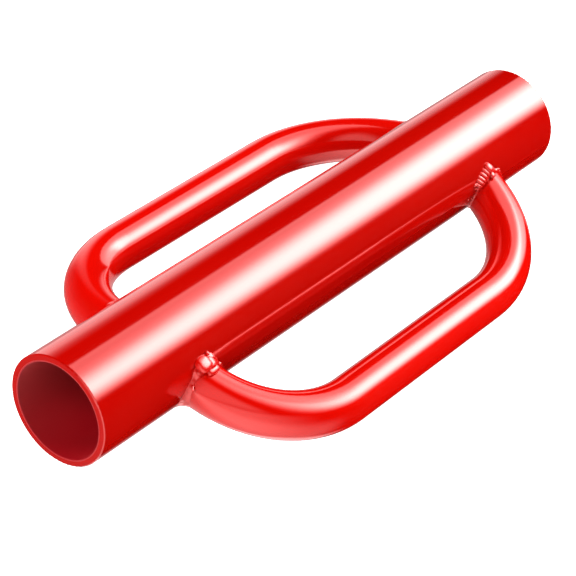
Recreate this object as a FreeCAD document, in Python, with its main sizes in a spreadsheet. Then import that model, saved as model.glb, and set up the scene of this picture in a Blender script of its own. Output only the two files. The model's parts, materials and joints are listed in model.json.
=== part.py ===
import FreeCAD, Part
import os
import Sketcher

# Post driver: a thick steel tube, open at the mouth and closed at the head by a striker plate that is
# welded in, with a bent-tube handle welded to each side.
#
# It lies on the ground. The barrel runs along Y with its mouth towards -Y, the handles reach out to
# +X (right) and -X (left), and +Z is up. The origin is on the ground under the middle of the barrel.
# Both handles droop just enough for their grips to touch the ground with the barrel.

# Driving dimensions, in millimetres. Distances to a leg run along the barrel from its mouth.
DIMENSIONS = {
    "barrel_length": 490,
    "barrel_radius": 38.05,
    "barrel_wall": 5,
    "rim_round": 0.8,
    "bore_round": 0.3,
    "seat_step": 1,
    "plate_thickness": 25,
    "plate_recess": 5,
    "plate_break": 1,
    "groove_size": 4,
    "ring_weld_rise": 3.5,
    "ring_crest_rise": 2.45,
    "ring_crest_reach": 2,
    "handle_radius": 16,
    "handle_wall": 2.5,
    "handle_reach": 102,
    "mouth_leg": 92.5,
    "head_leg": 412,
    "mouth_bend": 76,
    "head_bend": 87,
    "weld_size": 4,
    "weld_crown": 2.5,
}

# Places and sizes worked out from the dimensions.
MOUTH = "-dims.barrel_length / 2"
HEAD = "dims.barrel_length / 2"
BORE_RADIUS = "dims.barrel_radius - dims.barrel_wall"
SEAT_RADIUS = BORE_RADIUS + " + dims.seat_step"
PLATE_FACE = HEAD + " - dims.plate_recess"
SEAT_FLOOR = PLATE_FACE + " - dims.plate_thickness"
LEG_PLACES = {
    "mouth": "dims.mouth_leg - dims.barrel_length / 2",
    "head": "dims.head_leg - dims.barrel_length / 2",
}
DROOP = "asin((dims.barrel_radius - dims.handle_radius) / dims.handle_reach)"
SIDE_ANGLES = {"right": DROOP, "left": "180 deg - " + DROOP}

# How close a point must be, in millimetres, to count as on a ring or on a bead's outermost edge.
RING_TOLERANCE = 1e-4
BEAD_TOLERANCE = 1e-2
# How many points of an edge are tested, and the least volume, in cubic millimetres, that a cut takes.
EDGE_SAMPLES = 9
LEAST_CUT = 1
# The angle that a body is turned by before its real angle is bound: at no angle it would lose its axis.
STARTING_ANGLE = 10


# ---- spreadsheet, sketches and features ----

def make_sheet(doc):
    """Write the driving dimensions into a spreadsheet, one aliased cell each."""
    sheet = doc.addObject("Spreadsheet::Sheet", "dims")
    for row, (alias, value) in enumerate(DIMENSIONS.items(), start=1):
        sheet.set(f"A{row}", alias)
        sheet.set(f"B{row}", str(value))
        sheet.setAlias(f"B{row}", alias)
    doc.recompute()
    return sheet


def origin_feature(body, role):
    return next(f for f in body.Origin.OriginFeatures if f.Role == role)


def make_sketch(body, name, plane):
    """A sketch on one of the body's own origin planes."""
    sketch = body.newObject("Sketcher::SketchObject", f"{body.Name}_{name}")
    sketch.AttachmentSupport = [(origin_feature(body, plane), "")]
    sketch.MapMode = "FlatFace"
    return sketch


def bind(sketch, constraint, name, expression):
    """Add a dimension to a sketch and bind it to an expression."""
    index = sketch.addConstraint(constraint)
    sketch.renameConstraint(index, name)
    sketch.setExpression(f"Constraints.{name}", expression)


def add_circle(sketch, name, radius, centre_x=None):
    """A circle on the sketch's origin, or on its horizontal axis at centre_x."""
    circle = sketch.addGeometry(Part.Circle(), False)
    if centre_x is None:
        sketch.addConstraint(Sketcher.Constraint("Coincident", circle, 3, -1, 1))
    else:
        sketch.addConstraint(Sketcher.Constraint("PointOnObject", circle, 3, -1))
        place = Sketcher.Constraint("DistanceX", -1, 1, circle, 3, 1.0)
        bind(sketch, place, f"{name}_place", centre_x)
    bind(sketch, Sketcher.Constraint("Radius", circle, 1.0), f"{name}_radius", radius)


def value_of(sheet, expression):
    """The present value of an expression in the sheet's dimensions, as a plain number."""
    value = sheet.evalExpression(expression)
    return float(getattr(value, "Value", value))


def add_polygon(sketch, sheet, corners):
    """A closed outline whose corners are pairs of expressions."""
    points = [FreeCAD.Vector(value_of(sheet, x), value_of(sheet, y), 0) for x, y in corners]
    count = len(points)
    for i, point in enumerate(points):
        sketch.addGeometry(Part.LineSegment(point, points[(i + 1) % count]), False)
    for i, (x, y) in enumerate(corners):
        sketch.addConstraint(Sketcher.Constraint("Coincident", i, 2, (i + 1) % count, 1))
        bind(sketch, Sketcher.Constraint("DistanceX", -1, 1, i, 1, points[i].x), f"x{i}", x)
        bind(sketch, Sketcher.Constraint("DistanceY", -1, 1, i, 1, points[i].y), f"y{i}", y)


def revolve(body, sheet, corners):
    """A solid of revolution about the barrel's axis, from (radius, place along Y) corners."""
    sketch = make_sketch(body, "section", "XY_Plane")
    add_polygon(sketch, sheet, corners)
    feature = body.newObject("PartDesign::Revolution", f"{body.Name}_revolution")
    feature.Profile = (sketch, [""])
    feature.ReferenceAxis = (origin_feature(body, "Y_Axis"), [""])
    feature.Angle = 360
    return feature


def cut_through(body, name, sketch):
    """Cut the sketch through the whole body, both ways from its plane."""
    pocket = body.newObject("PartDesign::Pocket", f"{body.Name}_{name}")
    pocket.Profile = (sketch, [""])
    pocket.SideType = "Symmetric"
    pocket.Type = "ThroughAll"
    return pocket


def dress(body, kind, name, size, edges):
    """Fillet or chamfer the last feature's edges. Its size is an expression."""
    base = body.Tip
    feature = body.newObject(f"PartDesign::{kind}", f"{body.Name}_{name}")
    feature.Base = (base, edges)
    feature.setExpression({"Fillet": "Radius", "Chamfer": "Size"}[kind], size)
    return feature


def edges_where(shape, test):
    """Names of the edges whose every sample point passes the test."""
    names = []
    for number, edge in enumerate(shape.Edges, start=1):
        if all(test(point) for point in edge.discretize(EDGE_SAMPLES)):
            names.append(f"Edge{number}")
    return names


def ring_edges(shape, radius, place):
    """Names of the edges that are rings of this radius round the barrel's axis at this place."""
    def on_ring(point):
        from_axis = (point.x ** 2 + point.z ** 2) ** 0.5
        return abs(from_axis - radius) < RING_TOLERANCE and abs(point.y - place) < RING_TOLERANCE
    return edges_where(shape, on_ring)


# ---- sub-parts ----

def new_body(doc, label):
    body = doc.addObject("PartDesign::Body", label)
    body.Label = label
    return body


def set_on_axis(body, side=None):
    """Lift a body to the barrel's axis and turn a handle's piece to its side."""
    if side:
        body.Placement.Rotation = FreeCAD.Rotation(FreeCAD.Vector(0, 1, 0), STARTING_ANGLE)
        body.setExpression("Placement.Rotation.Angle", SIDE_ANGLES[side])
    body.setExpression("Placement.Base.z", "dims.barrel_radius")


def make_barrel(doc, sheet):
    """The tube, bored out at the head to seat the striker plate, with rounded rims."""
    body = new_body(doc, "barrel")
    revolve(body, sheet, [
        (BORE_RADIUS, MOUTH),
        ("dims.barrel_radius", MOUTH),
        ("dims.barrel_radius", HEAD),
        (SEAT_RADIUS, HEAD),
        (SEAT_RADIUS, SEAT_FLOOR),
        (BORE_RADIUS, SEAT_FLOOR),
    ])
    doc.recompute()
    rims = []
    for place in (MOUTH, HEAD):
        radius = value_of(sheet, "dims.barrel_radius")
        rims += ring_edges(body.Shape, radius, value_of(sheet, place))
    dress(body, "Fillet", "rim_round", "dims.rim_round", rims)
    doc.recompute()
    inner = ring_edges(body.Shape, value_of(sheet, BORE_RADIUS), value_of(sheet, MOUTH))
    inner += ring_edges(body.Shape, value_of(sheet, SEAT_RADIUS), value_of(sheet, HEAD))
    dress(body, "Fillet", "bore_round", "dims.bore_round", inner)
    set_on_axis(body)


def make_striker_plate(doc, sheet):
    """The disc in the barrel's head, with a weld groove round its outer face."""
    body = new_body(doc, "striker_plate")
    sketch = make_sketch(body, "disc", "XZ_Plane")
    sketch.setExpression("AttachmentOffset.Base.z", f"-({SEAT_FLOOR})")
    add_circle(sketch, "disc", SEAT_RADIUS)
    pad = body.newObject("PartDesign::Pad", "striker_plate_pad")
    pad.Profile = (sketch, [""])
    pad.setExpression("Length", "dims.plate_thickness")
    pad.Reversed = True
    doc.recompute()
    radius = value_of(sheet, SEAT_RADIUS)
    inner = ring_edges(body.Shape, radius, value_of(sheet, SEAT_FLOOR))
    dress(body, "Chamfer", "inner_break", "dims.plate_break", inner)
    doc.recompute()
    outer = ring_edges(body.Shape, radius, value_of(sheet, PLATE_FACE))
    dress(body, "Chamfer", "weld_groove", "dims.groove_size", outer)
    set_on_axis(body)


def make_striker_weld(doc, sheet):
    """The ring bead that fills the plate's groove and climbs the barrel's wall."""
    body = new_body(doc, "striker_weld")
    revolve(body, sheet, [
        (SEAT_RADIUS, PLATE_FACE + " - dims.groove_size"),
        (SEAT_RADIUS, PLATE_FACE + " + dims.ring_weld_rise"),
        (SEAT_RADIUS + " - dims.ring_crest_reach", PLATE_FACE + " + dims.ring_crest_rise"),
        (SEAT_RADIUS + " - dims.groove_size", PLATE_FACE),
    ])
    set_on_axis(body)


def draw_leg(path, end):
    """The centre line of one leg and its bend, from the barrel's axis to the grip.

    Returns the bend's geometry number and the number of its point at the grip. An arc runs
    anticlockwise, so the mouth's bend starts at its leg and the head's bend ends there.
    """
    reach = DIMENSIONS["handle_reach"]
    bend = DIMENSIONS[f"{end}_bend"]
    place = DIMENSIONS[f"{end}_leg"] - DIMENSIONS["barrel_length"] / 2
    inward = {"mouth": 1, "head": -1}[end]
    at_leg, at_grip = {"mouth": (1, 2), "head": (2, 1)}[end]
    middle = bend * (1 - 0.5 ** 0.5)
    foot = FreeCAD.Vector(0, place, 0)
    bend_start = FreeCAD.Vector(reach - bend, place, 0)
    bend_middle = FreeCAD.Vector(reach - middle, place + inward * middle, 0)
    bend_end = FreeCAD.Vector(reach, place + inward * bend, 0)
    leg = path.addGeometry(Part.LineSegment(foot, bend_start), False)
    arc = path.addGeometry(Part.Arc(bend_start, bend_middle, bend_end), False)
    path.addConstraint(Sketcher.Constraint("PointOnObject", leg, 1, -2))
    path.addConstraint(Sketcher.Constraint("Horizontal", leg))
    path.addConstraint(Sketcher.Constraint("Tangent", leg, 2, arc, at_leg))
    path.addConstraint(Sketcher.Constraint("Horizontal", arc, 3, arc, at_grip))
    foot_place = Sketcher.Constraint("DistanceY", -1, 1, leg, 1, place)
    bind(path, foot_place, f"{end}_leg", LEG_PLACES[end])
    grip_place = Sketcher.Constraint("DistanceX", -1, 1, arc, at_grip, reach)
    bind(path, grip_place, f"{end}_reach", "dims.handle_reach")
    bind(path, Sketcher.Constraint("Radius", arc, bend), f"{end}_bend", f"dims.{end}_bend")
    return arc, at_grip


def draw_handle_path(path):
    """The handle's whole centre line: both legs with their bends, and the grip between them."""
    mouth_arc, mouth_point = draw_leg(path, "mouth")
    head_arc, head_point = draw_leg(path, "head")
    ends = [path.getPoint(mouth_arc, mouth_point), path.getPoint(head_arc, head_point)]
    grip = path.addGeometry(Part.LineSegment(*ends), False)
    path.addConstraint(Sketcher.Constraint("Coincident", grip, 1, mouth_arc, mouth_point))
    path.addConstraint(Sketcher.Constraint("Coincident", grip, 2, head_arc, head_point))


def sweep(body, kind, name, path, end, radii):
    """Sweep circles of these radii along the path, from the barrel's axis at one leg."""
    section = make_sketch(body, f"{name}_section", "YZ_Plane")
    for number, radius in enumerate(radii):
        add_circle(section, f"circle{number}", radius, LEG_PLACES[end])
    pipe = body.newObject(f"PartDesign::{kind}Pipe", f"{body.Name}_{name}")
    pipe.Profile = (section, [""])
    pipe.Spine = (path, [])
    return pipe


def make_handle(doc, side):
    """A tube bent to a D, cut to the barrel's round at the foot of each leg."""
    body = new_body(doc, f"{side}_handle")
    path = make_sketch(body, "path", "XY_Plane")
    draw_handle_path(path)
    doc.recompute()
    bore = "dims.handle_radius - dims.handle_wall"
    sweep(body, "Additive", "tube", path, "mouth", ["dims.handle_radius", bore])
    saddle = make_sketch(body, "saddle", "XZ_Plane")
    add_circle(saddle, "barrel", "dims.barrel_radius")
    cut_through(body, "notch", saddle)
    set_on_axis(body, side)


def make_handle_weld(doc, sheet, side, end):
    """The rounded bead round the foot of one leg, on the barrel's surface."""
    body = new_body(doc, f"{side}_{end}_weld")
    path = make_sketch(body, "path", "XY_Plane")
    draw_leg(path, end)
    doc.recompute()
    sweep(body, "Additive", "collar", path, end, ["dims.handle_radius + dims.weld_size"])
    trim = make_sketch(body, "trim", "XZ_Plane")
    add_circle(trim, "inside", "dims.barrel_radius + dims.weld_size")
    add_circle(trim, "outside", "dims.barrel_length")
    cut_through(body, "trim_cut", trim)
    barrel = make_sketch(body, "barrel", "XZ_Plane")
    add_circle(barrel, "barrel", "dims.barrel_radius")
    cut_through(body, "barrel_cut", barrel)
    sweep(body, "Subtractive", "leg_cut", path, end, ["dims.handle_radius"])
    doc.recompute()
    dress(body, "Fillet", "crown", "dims.weld_crown", bead_edges(body.Shape, path.Shape, sheet))
    set_on_axis(body, side)


def bead_edges(shape, path, sheet):
    """Names of the bead's outermost edges, a bead's size from both the leg and the barrel."""
    from_leg = value_of(sheet, "dims.handle_radius + dims.weld_size")
    from_barrel = value_of(sheet, "dims.barrel_radius + dims.weld_size")

    def outermost(point):
        leg_distance = path.distToShape(Part.Vertex(point))[0]
        barrel_distance = (point.x ** 2 + point.z ** 2) ** 0.5
        on_collar = abs(leg_distance - from_leg) < BEAD_TOLERANCE
        return on_collar and abs(barrel_distance - from_barrel) < BEAD_TOLERANCE
    return edges_where(shape, outermost)


# ---- checks and files ----

def check_features(doc):
    """Stop if any object failed, any cut took nothing away, or any sub-part isn't one valid solid."""
    for item in doc.Objects:
        if "Invalid" in item.State or "Error" in item.State:
            raise RuntimeError(f"{item.Label} failed: {item.State}")
        if item.TypeId in ("PartDesign::Pocket", "PartDesign::SubtractivePipe"):
            if item.Shape.Volume > item.BaseFeature.Shape.Volume - LEAST_CUT:
                raise RuntimeError(f"{item.Label} cuts nothing")
    for body in bodies_of(doc):
        if body.Shape.isNull() or not body.Shape.isValid() or len(body.Shape.Solids) != 1:
            raise RuntimeError(f"{body.Label} isn't one valid solid")


def bodies_of(doc):
    return [item for item in doc.Objects if item.TypeId == "PartDesign::Body"]


def write_parts(doc):
    os.makedirs("parts", exist_ok=True)
    for body in bodies_of(doc):
        body.Shape.exportStep(f"parts/{body.Label}.step")
        box = body.Shape.BoundBox
        print(f"{body.Label}: {body.Shape.Volume:.0f} mm3,"
              f" x {box.XMin:.2f} {box.XMax:.2f}, y {box.YMin:.2f} {box.YMax:.2f},"
              f" z {box.ZMin:.2f} {box.ZMax:.2f}")


def main():
    doc = FreeCAD.newDocument("post_driver")
    sheet = make_sheet(doc)
    make_barrel(doc, sheet)
    make_striker_plate(doc, sheet)
    make_striker_weld(doc, sheet)
    for side in SIDE_ANGLES:
        make_handle(doc, side)
        for end in LEG_PLACES:
            make_handle_weld(doc, sheet, side, end)
    doc.recompute()
    check_features(doc)
    write_parts(doc)


main()
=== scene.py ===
"""Looks of the post driver: paint, weld beads, studio light and camera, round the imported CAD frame."""
import json
import math

import bmesh
import bpy
from mathutils import Matrix, Vector, noise


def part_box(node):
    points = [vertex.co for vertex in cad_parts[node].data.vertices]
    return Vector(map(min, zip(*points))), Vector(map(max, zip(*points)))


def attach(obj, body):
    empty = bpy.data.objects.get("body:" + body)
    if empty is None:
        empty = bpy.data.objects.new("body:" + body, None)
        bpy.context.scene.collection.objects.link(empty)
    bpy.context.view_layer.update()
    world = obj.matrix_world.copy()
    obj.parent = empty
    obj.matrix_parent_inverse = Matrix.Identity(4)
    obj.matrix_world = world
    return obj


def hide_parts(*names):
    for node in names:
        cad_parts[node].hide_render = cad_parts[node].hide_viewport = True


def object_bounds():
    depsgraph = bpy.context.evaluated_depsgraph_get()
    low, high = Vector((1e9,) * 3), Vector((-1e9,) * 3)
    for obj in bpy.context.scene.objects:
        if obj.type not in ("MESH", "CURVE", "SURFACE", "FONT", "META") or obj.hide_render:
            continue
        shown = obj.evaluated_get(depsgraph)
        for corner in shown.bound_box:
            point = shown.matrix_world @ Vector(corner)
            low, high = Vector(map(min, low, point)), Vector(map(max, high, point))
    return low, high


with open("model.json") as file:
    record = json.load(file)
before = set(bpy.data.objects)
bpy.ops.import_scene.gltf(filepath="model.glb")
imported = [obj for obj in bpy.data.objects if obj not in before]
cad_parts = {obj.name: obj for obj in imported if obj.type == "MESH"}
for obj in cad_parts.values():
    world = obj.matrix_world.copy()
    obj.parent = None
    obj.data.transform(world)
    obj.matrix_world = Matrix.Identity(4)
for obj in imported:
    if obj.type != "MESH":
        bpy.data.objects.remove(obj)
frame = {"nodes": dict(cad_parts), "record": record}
cad_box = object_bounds()

# Sizes that the frame gives, in metres.
BARREL_LOW, BARREL_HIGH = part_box("barrel")
BARREL_RADIUS = (BARREL_HIGH.x - BARREL_LOW.x) / 2
AXIS_HEIGHT = (BARREL_HIGH.z + BARREL_LOW.z) / 2
MOUTH = BARREL_LOW.y
HEAD = BARREL_HIGH.y
MOUNTS = {mount["name"]: mount for mount in frame["record"]["mounts"]}
BORE_RADIUS = MOUNTS["post_bore"]["dims"]["r_mm"] / 1000

# Sizes of the bent handles, the same as the CAD part's.
HANDLE_RADIUS = 0.016
HANDLE_REACH = 0.102
DROOP = math.asin((AXIS_HEIGHT - HANDLE_RADIUS) / HANDLE_REACH)
LEG_PLACES = {"mouth": MOUTH + 0.0925, "head": MOUTH + 0.412}
BENDS = {"mouth": 0.076, "head": 0.087}
INWARD = {"mouth": 1, "head": -1}
SIDES = {"right": 1, "left": -1}

# Sizes of the plate's seat and of the ring bead that fills the groove round it, also the CAD part's.
SEAT_RADIUS = BORE_RADIUS + 0.001
PLATE_FACE = HEAD - 0.005
GROOVE_SIZE = 0.004
RING_RISE = 0.0035

# The direction's share along +Y at which the leaning edges of the studio's panels have their stated angles.
LEAN_CENTRE = 0.67
LEAN_LIMIT = 0.1

# The panels: edges, reach, strength and leans, as panel() explains them. The rows are the overhead
# softbox in three layers, three cards on the left, one underneath, two low in front and on the right,
# and a high one in front, which serves the view from behind.
NO_LEAN = (0.0, 0.0)
PANELS = (
    ((27, 60, 64, 98), (0.28, 0.64, 0.8, 0.9), 10.0, (0.0, 100.0)),
    ((30, 56, 68, 112), (0.1, 0.42, 0.85, 1.05), 4.6, (0.0, 100.0)),
    ((34, 64, 117, 121), (-0.05, 0.25, 0.95, 1.2), 2.0, (0.0, 40.0)),
    ((152, 190, 198, 206), (0.3, 0.6, 0.9, 1.1), 1.0, (120.0, 0.0)),
    ((158, 175, 256, 268), (0.35, 0.6, 1.1, 1.3), 0.5, NO_LEAN),
    ((160, 230, 256, 268), (-0.9, -0.3, 0.35, 0.6), 0.32, NO_LEAN),
    ((252, 265, 278, 296), (0.0, 0.15, 0.4, 0.55), 1.8, NO_LEAN),
    ((235, 250, 330, 370), (-1.3, -1.1, 0.1, 0.45), 0.85, NO_LEAN),
    ((255, 300, 385, 400), (-1.3, -1.1, -0.8, 0.2), 1.6, NO_LEAN),
    ((24, 52, 66, 96), (-1.3, -1.1, -0.5, -0.2), 1.1, NO_LEAN),
)
WHITE = (1, 1, 1, 1)

# The area lights: name, place and diameter in metres, and power in watts.
LIGHTS = (
    ("front_fill", (-0.3, -1.6, 1.2), 1.0, 44.0),
    ("low_fill", (0.9, -1.6, 0.3), 1.0, 6.0),
    ("left_fill", (-1.6, -0.6, 0.5), 1.0, 30.0),
    ("right_fill", (0.65, 0.6, 0.2), 0.5, 6.5),
    ("top_fill", (-0.4, 1.2, 1.5), 1.2, 22.0),
)

# How far the floor reaches from the middle, how far it lies below the driver, its colour and its glow.
FLOOR_REACH = 12.0
FLOOR_GAP = 0.0002
FLOOR_GREY = (0.6, 0.6, 0.6, 1)
FLOOR_GLOW = 1.1


# ---- node helpers ----

class Nodes:
    """Short calls for building a node tree."""

    def __init__(self, tree):
        """Empty the tree, so that it holds only what is added here."""
        self.tree = tree
        tree.nodes.clear()

    def add(self, kind, inputs=None, **settings):
        """A node with its settings made and its inputs given values or links."""
        node = self.tree.nodes.new(kind)
        for name, value in settings.items():
            setattr(node, name, value)
        for key, value in (inputs or {}).items():
            if isinstance(value, bpy.types.NodeSocket):
                self.tree.links.new(value, node.inputs[key])
            else:
                node.inputs[key].default_value = value
        return node

    def maths(self, operation, *values):
        """The result of a Math node."""
        return self.add("ShaderNodeMath", dict(enumerate(values)), operation=operation).outputs[0]

    def smooth(self, value, low, high):
        """0 at low and 1 at high, with a smooth step between. low may be the larger."""
        inputs = {"Value": value, "From Min": low, "From Max": high}
        kind = "SMOOTHSTEP"
        return self.add("ShaderNodeMapRange", inputs, interpolation_type=kind).outputs["Result"]

    def noise(self, vector, scale, detail):
        """The value of a Noise Texture node."""
        inputs = {"Vector": vector, "Scale": scale, "Detail": detail, "Roughness": 0.5}
        return self.add("ShaderNodeTexNoise", inputs).outputs["Fac"]


# ---- camera ----

def make_camera():
    """The camera that looks down at the mouth and the right handle, tilted a little about its own axis."""
    target = Vector((0.0179, -0.0429, AXIS_HEIGHT))
    azimuth = math.radians(31.24)
    elevation = math.radians(38.25)
    roll = math.radians(12.0)
    distance = 1.5086
    level = math.cos(elevation)
    to_camera = Vector((math.sin(azimuth) * level, -math.cos(azimuth) * level, math.sin(elevation)))
    right = Vector((0, 0, 1)).cross(to_camera).normalized()
    up = to_camera.cross(right)
    rolled_right = right * math.cos(roll) + up * math.sin(roll)
    rolled_up = up * math.cos(roll) - right * math.sin(roll)
    data = bpy.data.cameras.new("camera")
    data.sensor_width = 36.0
    data.lens = 143.57
    data.clip_end = 50.0
    camera = bpy.data.objects.new("camera", data)
    turn = Matrix((rolled_right, rolled_up, to_camera)).transposed().to_4x4()
    camera.matrix_world = Matrix.Translation(target + to_camera * distance) @ turn
    bpy.context.scene.collection.objects.link(camera)
    bpy.context.scene.camera = camera


# ---- studio ----

def panel(nodes, angle, along, edges, reach, strength, leans):
    """A soft panel in the world's light.

    angle runs round the barrel's direction in degrees, from 0 at +X through 90 overhead. edges gives
    the angles where the panel starts, is full, starts to fade and ends. along is the direction's share
    along +Y, and reach gives the same four places for it. leans gives how fast the first and the last
    edge turn, in degrees for a change of 1 in along.
    """
    middle = (edges[1] + edges[2]) / 2
    turned = nodes.maths("WRAP", nodes.maths("SUBTRACT", angle, middle), 180.0, -180.0)
    past = nodes.maths("SUBTRACT", along, LEAN_CENTRE)
    past = nodes.maths("MINIMUM", nodes.maths("MAXIMUM", past, -LEAN_LIMIT), LEAN_LIMIT)
    risen = nodes.maths("SUBTRACT", turned, nodes.maths("MULTIPLY", past, leans[0]))
    fallen = nodes.maths("SUBTRACT", turned, nodes.maths("MULTIPLY", past, leans[1]))
    mask = nodes.smooth(risen, edges[0] - middle, edges[1] - middle)
    mask = nodes.maths("MULTIPLY", mask, nodes.smooth(fallen, edges[3] - middle, edges[2] - middle))
    mask = nodes.maths("MULTIPLY", mask, nodes.smooth(along, reach[0], reach[1]))
    mask = nodes.maths("MULTIPLY", mask, nodes.smooth(along, reach[3], reach[2]))
    return nodes.maths("MULTIPLY", mask, strength)


def make_world():
    """Light the world with the studio's panels, and show the camera plain white instead."""
    world = bpy.data.worlds.new("studio")
    bpy.context.scene.world = world
    world.use_nodes = True
    nodes = Nodes(world.node_tree)
    direction = nodes.add("ShaderNodeTexCoord").outputs["Generated"]
    parts = nodes.add("ShaderNodeSeparateXYZ", {0: direction})
    x, along, z = parts.outputs[0], parts.outputs[1], parts.outputs[2]
    angle = nodes.maths("MULTIPLY", nodes.maths("ARCTAN2", z, x), math.degrees(1))
    panels = [panel(nodes, angle, along, *row) for row in PANELS]
    light = panels[0]
    for other in panels[1:]:
        light = nodes.maths("ADD", light, other)
    studio = nodes.add("ShaderNodeBackground", {"Color": WHITE, "Strength": light})
    backdrop = nodes.add("ShaderNodeBackground", {"Color": WHITE, "Strength": 1.0})
    seen = nodes.add("ShaderNodeLightPath").outputs["Is Camera Ray"]
    mixed = nodes.add("ShaderNodeMixShader", {0: seen, 1: studio.outputs[0], 2: backdrop.outputs[0]})
    nodes.add("ShaderNodeOutputWorld", {"Surface": mixed.outputs[0]})


def make_light(name, place, size, power):
    """A soft area light aimed at the driver, which doesn't show in the paint's gloss."""
    data = bpy.data.lights.new(name, "AREA")
    data.shape = "DISK"
    data.size = size
    data.energy = power
    light = bpy.data.objects.new(name, data)
    light.location = place
    aim = Vector((0, 0, AXIS_HEIGHT)) - light.location
    light.rotation_euler = aim.to_track_quat("-Z", "Y").to_euler()
    light.visible_glossy = False
    light.visible_camera = False
    bpy.context.scene.collection.objects.link(light)


def make_floor():
    """A plain floor, made white by its own glow. The paint's gloss sees the studio instead of it."""
    size = FLOOR_REACH
    mesh = bpy.data.meshes.new("floor")
    corners = [(-size, -size, 0), (size, -size, 0), (size, size, 0), (-size, size, 0)]
    mesh.from_pydata(corners, [], [(0, 1, 2, 3)])
    floor = bpy.data.objects.new("floor", mesh)
    floor.location.z = cad_box[0][2] - FLOOR_GAP
    material = bpy.data.materials.new("floor")
    material.use_nodes = True
    nodes = Nodes(material.node_tree)
    shader = nodes.add("ShaderNodeBsdfPrincipled", {
        "Base Color": FLOOR_GREY,
        "Roughness": 0.9,
        "Specular IOR Level": 0.0,
        "Emission Color": WHITE,
        "Emission Strength": FLOOR_GLOW,
    })
    nodes.add("ShaderNodeOutputMaterial", {"Surface": shader.outputs[0]})
    mesh.materials.append(material)
    floor.visible_glossy = False
    bpy.context.scene.collection.objects.link(floor)


# ---- weld beads ----

# The bead round each leg: turn round the leg in degrees, from the side that faces the head (0) over the
# top (90) and on, then reach over the barrel and reach up the leg in millimetres, and how far it bulges,
# from 1 for a full round bead to -1 for a hollow fillet.
BEAD_KEYS = {
    "mouth": (
        (0, 1.4, 1.4, 0.6), (18, 1.8, 1.6, 0.9), (35, 2.4, 2.2, 1.0), (50, 2.2, 1.8, 0.8),
        (62, 4.2, 3.4, 1.0), (76, 7.0, 4.4, 1.1), (102, 7.4, 4.4, 1.1), (118, 5.4, 3.4, 1.0),
        (136, 2.6, 2.0, 0.1), (160, 3.0, 3.2, -0.8), (184, 4.4, 4.4, -0.9), (215, 6.2, 6.0, -0.9),
        (245, 4.6, 4.6, -0.4), (275, 3.0, 3.0, 0.5), (330, 2.4, 2.4, 0.7),
    ),
    "head": (
        (0, 1.2, 1.2, 0.6), (40, 1.8, 1.4, 0.9), (72, 2.0, 1.6, 0.9), (84, 3.6, 2.6, 1.0),
        (98, 7.4, 3.0, 1.0), (138, 6.6, 2.4, 0.9), (150, 1.8, 1.4, 0.6), (172, 0.6, 1.0, 0.0),
        (205, 0.9, 1.2, -0.2), (240, 1.2, 1.4, 0.1), (268, 1.6, 1.6, 0.5), (320, 1.8, 1.8, 0.7),
    ),
}

# Lumps of extra metal on the beads: turn, distance from the leg, distance from the barrel, and half
# sizes along the bead, across it and up from it, the last five in millimetres.
LUMPS = {
    "mouth": (
        (101, 4.8, 2.4, 5.6, 5.4, 2.6), (88, 3.2, 2.6, 4.4, 4.6, 2.5), (91, 1.2, 5.6, 5.2, 3.0, 1.9),
        (74, 4.4, 0.8, 2.0, 2.4, 1.6), (85, 7.4, 1.0, 0.9, 1.6, 1.4), (149, 2.0, 3.0, 2.4, 0.5, 0.5),
    ),
    "head": (
        (103, 6.4, 1.0, 3.2, 4.0, 2.7), (113, 6.0, 1.0, 1.6, 4.2, 2.0), (120, 5.8, 1.0, 1.5, 4.1, 1.9),
        (127, 5.8, 0.9, 1.5, 4.1, 1.8), (133, 5.6, 0.9, 1.4, 3.9, 1.7), (139, 5.4, 0.7, 1.3, 3.7, 1.5),
        (142, 8.4, 0.4, 1.0, 1.2, 1.0), (143, 3.4, 0.8, 1.3, 1.5, 1.4), (146, 5.6, 0.4, 0.8, 1.0, 0.9),
        (97, 1.6, 2.8, 2.4, 2.4, 1.8), (66, 1.6, 0.3, 3.0, 0.6, 0.7),
        (168, 8.0, 0.0, 0.5, 0.5, 0.4), (170, 2.6, 0.0, 0.5, 0.5, 0.4), (175, 9.4, 0.0, 0.4, 0.4, 0.3),
    ),
}
MILLIMETRE = 0.001

# The beads on the left are laid closer, so they are this much smaller than the stated ones.
BEAD_SCALES = {"right": 1.0, "left": 0.6}

# How far a lump's top leans out from straight up, in degrees, how blunt its shape is, and how uneven.
LUMP_LEAN = 30.0
LUMP_POWER = 3.0
LUMP_UNEVEN = 0.07
LUMP_UNEVEN_SCALE = 1.6

# The step of turn, in radians, that shows which way the bead runs at a lump.
LUMP_STEP = 0.02

# The mesh of a leg's bead: rings round the leg, and steps across the bead in each ring. Its edges are
# sunk into the tubes, less and less away from the edge by EDGE_POWER, and its inner corner is
# CORNER_SINKS times as deep. BISECTIONS is how often the search for a point on it is halved.
BEAD_RINGS = 300
BEAD_STEPS = 12
BEAD_SUNK = 0.0004
EDGE_POWER = 8
CORNER_SINKS = 3
BISECTIONS = 30

# The ripples of a leg's bead and its rough skin, in metres, and the scale of the noise that makes the
# skin. The skin's height is scaled by LEAST_ROUGH plus the bulge, so flat and hollow parts are smoother.
BEAD_DENT = 0.00035
BEAD_PITCH = 0.0026
BEAD_ROUGH = 0.0004
BEAD_ROUGH_SCALE = 420
LEAST_ROUGH = 0.4

# How far a ripple arches back at the bead's edges, as a share of the pitch, and how narrow its hollow is.
RIPPLE_ARCH = 0.3
RIPPLE_POWER = 0.6

# The ring bead: its mesh, its ripples and rough skin, how far it overlaps the wall and the plate, and how
# much wider than the groove it is.
RING_RINGS = 360
RING_STEPS = 10
RING_DENT = 0.0004
RING_PITCH = 0.0031
RING_ROUGH = 0.0002
RING_ROUGH_SCALE = 9
RING_OVERLAP = 0.0001
RING_WIDEN = 1.05

# Each bead's noise starts this far from the last one's, and the ring bead's starts here.
SEED_STEP = 10.0
RING_SEED = 7


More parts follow.
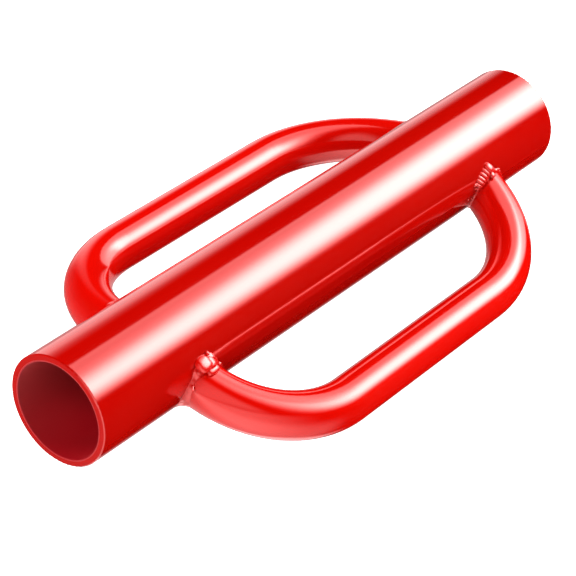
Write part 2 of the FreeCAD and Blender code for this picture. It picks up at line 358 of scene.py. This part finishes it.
class Leg:
    """One leg of a handle, whose bent centre line starts on the barrel's axis."""

    def __init__(self, side, end):
        """Work out the leg's directions and look up its place and bend."""
        self.sign = SIDES[side]
        self.outward = Vector((self.sign * math.cos(DROOP), 0, -math.sin(DROOP)))
        self.upward = Vector((self.sign * math.sin(DROOP), 0, math.cos(DROOP)))
        self.place = LEG_PLACES[end]
        self.bend = BENDS[end]
        self.inward = INWARD[end]

    def skin(self, along, turn, radius):
        """The point at this length along the leg, this turn and this distance from its centre line.

        It is (out from the barrel's axis, along the barrel, up from the handle's plane).
        """
        straight = HANDLE_REACH - self.bend
        angle = max(0.0, along - straight) / self.bend
        out = min(along, straight) + self.bend * math.sin(angle)
        place = self.place + self.inward * self.bend * (1 - math.cos(angle))
        level = radius * math.cos(turn)
        out -= level * self.inward * math.sin(angle)
        return Vector((out, place + level * math.cos(angle), radius * math.sin(turn)))

    def joint(self, turn, from_leg, from_barrel):
        """The point at these distances from the leg's skin and the barrel's skin, in the row's frame."""
        low, high = 0.0, BARREL_RADIUS * 2
        for _ in range(BISECTIONS):
            along = (low + high) / 2
            point = self.skin(along, turn, HANDLE_RADIUS + from_leg)
            if math.hypot(point.x, point.z) < BARREL_RADIUS + from_barrel:
                low = along
            else:
                high = along
        spot = self.outward * point.x + self.upward * point.z
        return Vector((spot.x, point.y, spot.z + AXIS_HEIGHT))


def keyed(keys, turn):
    """The key values at this turn in degrees, eased between the keys. The last leads back to the first."""
    after = next((number for number, key in enumerate(keys) if key[0] > turn), len(keys))
    first = keys[after - 1]
    second = keys[after % len(keys)]
    share = (turn - first[0]) / ((second[0] - first[0]) % 360)
    share = share * share * (3 - 2 * share)
    return [a + (b - a) * share for a, b in zip(first[1:], second[1:])]


def bead_section(width, height, bulge, share):
    """Distances from the leg and the barrel at this share of the way from the leg down to the barrel."""
    quarter = share * math.pi / 2
    flat = (share, 1 - share)
    full = (math.sin(quarter), math.cos(quarter))
    if bulge < 0:
        full = (1 - math.cos(quarter), 1 - math.sin(quarter))
    mixed = [level + (curved - level) * abs(bulge) for level, curved in zip(flat, full)]
    return width * mixed[0], height * mixed[1]


def ripple(length, pitch, share):
    """How far a spot on a bead stands in a hollow between two ripples, which arch across the bead."""
    arch = RIPPLE_ARCH * pitch * (2 * share - 1) ** 2
    return 1 - abs(math.sin(math.pi * (length + arch) / pitch)) ** RIPPLE_POWER


def ring_faces(rings, points):
    """Faces of a closed tube made of this many rings with this many points each."""
    faces = []
    for ring in range(rings):
        here = ring * points
        after = (ring + 1) % rings * points
        for point in range(points):
            other = (point + 1) % points
            faces.append((here + point, here + other, after + other, after + point))
    return faces


def leg_bead(leg, end, scale, seed):
    """Vertices and faces of the rippled, uneven bead round a leg's foot."""
    offset = Vector((seed, 0, 0))
    size = scale * MILLIMETRE
    vertices = []
    for ring in range(BEAD_RINGS):
        degrees = 360 * ring / BEAD_RINGS
        turn = math.radians(degrees)
        width, height, bulge = keyed(BEAD_KEYS[end], degrees)
        length = turn * HANDLE_RADIUS
        for number in range(BEAD_STEPS + 1):
            share = number / BEAD_STEPS
            from_leg, from_barrel = bead_section(width * size, height * size, bulge, share)
            middle = math.sin(math.pi * share)
            spot = leg.joint(turn, from_leg, from_barrel)
            bumps = noise.noise(spot * BEAD_ROUGH_SCALE + offset)
            dent = BEAD_DENT * ripple(length, BEAD_PITCH, share) * max(0.0, bulge)
            rough = BEAD_ROUGH * bumps * (LEAST_ROUGH + max(0.0, bulge))
            swell = (rough - dent) * middle - BEAD_SUNK * (1 - middle) ** EDGE_POWER
            vertices.append(leg.joint(turn, from_leg + swell, from_barrel + swell))
        corner = -BEAD_SUNK * CORNER_SINKS
        vertices.append(leg.joint(turn, corner, corner))
    return vertices, ring_faces(BEAD_RINGS, BEAD_STEPS + 2)


def add_lump(mesh, leg, lump, scale, seed):
    """A drop of weld metal, uneven and longer one way, half sunk in the bead or the tube."""
    turn = math.radians(lump[0])
    size = scale * MILLIMETRE
    from_leg, from_barrel = lump[1] * size, lump[2] * size
    centre = leg.joint(turn, from_leg, from_barrel)
    along = leg.joint(turn + LUMP_STEP, from_leg, from_barrel) - centre
    lean = math.radians(LUMP_LEAN)
    up = Vector((leg.sign * math.sin(lean), 0, math.cos(lean)))
    across = along.cross(up).normalized()
    along = up.cross(across)
    made = bmesh.ops.create_icosphere(mesh, subdivisions=3, radius=1.0)["verts"]
    for vertex in made:
        blunt = sum(abs(part) ** LUMP_POWER for part in vertex.co) ** (-1 / LUMP_POWER)
        uneven = 1 + LUMP_UNEVEN * noise.noise(vertex.co * LUMP_UNEVEN_SCALE + Vector((seed, lump[0], 0)))
        x, y, z = [part * half * size * blunt * uneven for part, half in zip(vertex.co, lump[3:])]
        vertex.co = centre + along * x + across * y + up * z


def make_leg_bead(side, end, seed):
    """The bead round one leg's foot, which replaces the CAD part's plain one."""
    leg = Leg(side, end)
    scale = BEAD_SCALES[side]
    vertices, faces = leg_bead(leg, end, scale, seed)
    mesh = bpy.data.meshes.new(f"{side}_{end}_bead")
    mesh.from_pydata(vertices, [], faces)
    work = bmesh.new()
    work.from_mesh(mesh)
    for lump in LUMPS[end]:
        add_lump(work, leg, lump, scale, seed)
    bmesh.ops.recalc_face_normals(work, faces=work.faces)
    work.to_mesh(mesh)
    work.free()
    finish_piece(mesh, f"{side}_{end}_weld")


def make_ring_bead():
    """The rippled ring bead between the striker plate and the barrel's wall."""
    offset = Vector((RING_SEED, 0, 0))
    vertices = []
    for ring in range(RING_RINGS):
        turn = 2 * math.pi * ring / RING_RINGS
        length = turn * SEAT_RADIUS
        across, up = math.cos(turn), math.sin(turn)
        for number in range(RING_STEPS + 1):
            share = number / RING_STEPS
            quarter = share * math.pi / 2
            middle = math.sin(math.pi * share)
            bumps = noise.noise(Vector((across, up, share)) * RING_ROUGH_SCALE + offset)
            dent = RING_DENT * ripple(length, RING_PITCH, share) - RING_ROUGH * bumps
            size = 1 - dent * middle / RING_RISE
            radius = SEAT_RADIUS + RING_OVERLAP - GROOVE_SIZE * RING_WIDEN * math.sin(quarter) * size
            place = PLATE_FACE - RING_OVERLAP + RING_RISE * math.cos(quarter) * size
            vertices.append((radius * across, place, AXIS_HEIGHT + radius * up))
        bottom = PLATE_FACE - GROOVE_SIZE
        vertices.append((SEAT_RADIUS * across, bottom, AXIS_HEIGHT + SEAT_RADIUS * up))
    mesh = bpy.data.meshes.new("ring_bead")
    mesh.from_pydata(vertices, [], ring_faces(RING_RINGS, RING_STEPS + 2))
    finish_piece(mesh, "striker_weld")


def finish_piece(mesh, node):
    """Put a finished mesh in the scene in place of a CAD node."""
    mesh.shade_smooth()
    mesh.materials.append(PAINTS["weld"])
    piece = bpy.data.objects.new(mesh.name, mesh)
    bpy.context.scene.collection.objects.link(piece)
    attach(piece, "root")
    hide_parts(node)


# ---- paint ----

# The bore's dull paint, with a darker red painted there as shade, fades out between these two radii, and
# this is its colour and roughness.
BORE_DULL_SHADE_ENDS = BORE_RADIUS + 0.0012
BORE_DULL_SHADE_FULL = BORE_RADIUS + 0.0004
BORE_SHADE_COLOUR = (0.22, 0.001, 0.004, 1)
BORE_ROUGHNESS = 0.8

# The paint's reflection, the noise that shapes its skin and the noise that varies its tone.
PAINT_IOR = 2.2
PAINT_TINT = (1, 0.34, 0.32, 1)
SKIN_SCALE = 420.0
SKIN_DETAIL = 1.0
PATCH_SCALE = 9.0
PATCH_DETAIL = 3.0

# How strong the skin's relief is on smooth metal, what full grain and saw marks add, and its height.
SKIN_DEPTH = 0.02
GRAIN_DEPTH = 0.3
SAW_DEPTH = 0.35
RELIEF_HEIGHT = 0.0005

# The gloss of smooth paint runs between these roughnesses, and full grain adds this much.
LEAST_ROUGHNESS = 0.07
MOST_ROUGHNESS = 0.10
GRAIN_ROUGHNESS = 0.6

# Red, green and blue of the paint's darkest and lightest patches, as shares of its red.
DARK_PATCH = (0.92, 0.002, 0.001)
LIGHT_PATCH = (1.08, 0.006, 0.001)


def patch(red, shares):
    """The colour of a patch of paint with this much red."""
    return tuple(red * share for share in shares) + (1,)


def in_bore(nodes, where):
    """1 within the bore's radius, all along the barrel, and 0 outside it."""
    parts = nodes.add("ShaderNodeSeparateXYZ", {0: where})
    level = nodes.maths("SUBTRACT", parts.outputs[2], AXIS_HEIGHT)
    across_square = nodes.maths("POWER", parts.outputs[0], 2.0)
    level_square = nodes.maths("POWER", level, 2.0)
    radius = nodes.maths("SQRT", nodes.maths("ADD", across_square, level_square))
    return nodes.smooth(radius, BORE_DULL_SHADE_ENDS, BORE_DULL_SHADE_FULL)


def saw_marks(nodes, where):
    """Shallow, slightly wavy grooves that a saw leaves right across a disc it cuts off a bar."""
    inputs = {"Vector": where, "Scale": 120.0, "Distortion": 2.4, "Detail": 2.0, "Detail Scale": 0.5}
    settings = {"wave_type": "BANDS", "bands_direction": "X", "wave_profile": "SIN"}
    return nodes.add("ShaderNodeTexWave", inputs, **settings).outputs["Fac"]


def blend(nodes, kind, share, first, second):
    """The result of a Mix node of this data type: first where the share is 0 and second where it is 1."""
    inputs = {"Factor": share, "A": first, "B": second}
    return nodes.add("ShaderNodeMix", inputs, data_type=kind).outputs["Result"]


def skin_normal(nodes, where, grain, sawn):
    """The bumped normal of the paint's skin: orange peel, the metal's grain, and a saw's marks if sawn."""
    relief = nodes.noise(where, SKIN_SCALE, SKIN_DETAIL)
    if sawn:
        relief = nodes.maths("ADD", relief, saw_marks(nodes, where))
    depth = SKIN_DEPTH + GRAIN_DEPTH * grain + SAW_DEPTH * sawn
    inputs = {"Height": relief, "Strength": depth, "Distance": RELIEF_HEIGHT}
    return nodes.add("ShaderNodeBump", inputs).outputs[0]


def make_paint(name, red, grain, sawn=False):
    """Gloss red paint over steel. grain is how rough the metal under it is, from 0 to 1.

    sawn adds the marks of a saw under the paint. Within the bore's radius the paint is dull and even,
    and its darker red there is painted shade. That takes in the striker plate and the ring bead.
    """
    material = bpy.data.materials.new(name)
    material.use_nodes = True
    nodes = Nodes(material.node_tree)
    where = nodes.add("ShaderNodeTexCoord").outputs["Object"]
    normal = skin_normal(nodes, where, grain, sawn)
    patches = nodes.noise(where, PATCH_SCALE, PATCH_DETAIL)
    tone = blend(nodes, "RGBA", patches, patch(red, DARK_PATCH), patch(red, LIGHT_PATCH))
    gloss = nodes.add("ShaderNodeMapRange", {
        "Value": patches,
        "To Min": LEAST_ROUGHNESS + GRAIN_ROUGHNESS * grain,
        "To Max": MOST_ROUGHNESS + GRAIN_ROUGHNESS * grain,
    })
    # Within the bore the gloss is dull and the red is darker: painted shade.
    inside = in_bore(nodes, where)
    shader = nodes.add("ShaderNodeBsdfPrincipled", {
        "Base Color": blend(nodes, "RGBA", inside, tone, BORE_SHADE_COLOUR),
        "Roughness": blend(nodes, "FLOAT", inside, gloss.outputs["Result"], BORE_ROUGHNESS),
        "IOR": PAINT_IOR,
        "Specular Tint": PAINT_TINT,
        "Normal": normal,
    })
    nodes.add("ShaderNodeOutputMaterial", {"Surface": shader.outputs[0]})
    return material


def paint_nodes():
    """Give every CAD node the paint named by the last word of its own name."""
    for name, node in frame["nodes"].items():
        for slot in node.material_slots:
            slot.material = PAINTS[name.split("_")[-1]]


# The handles get a lighter red than the barrel, though they wear the same paint: painted light, standing in
# for the brighter light that falls on them.
PAINTS = {
    "barrel": make_paint("barrel_paint", 0.25, 0.0),
    "handle": make_paint("handle_paint", 0.36, 0.0),
    "plate": make_paint("plate_paint", 0.25, 0.12, sawn=True),
    "weld": make_paint("weld_paint", 0.34, 0.19),
}
make_camera()
make_world()
for row in LIGHTS:
    make_light(*row)
make_floor()
paint_nodes()
for seed, (side, end) in enumerate((side, end) for side in SIDES for end in INWARD):
    make_leg_bead(side, end, seed * SEED_STEP)
make_ring_bead()
bpy.context.scene.view_settings.view_transform = "Standard"
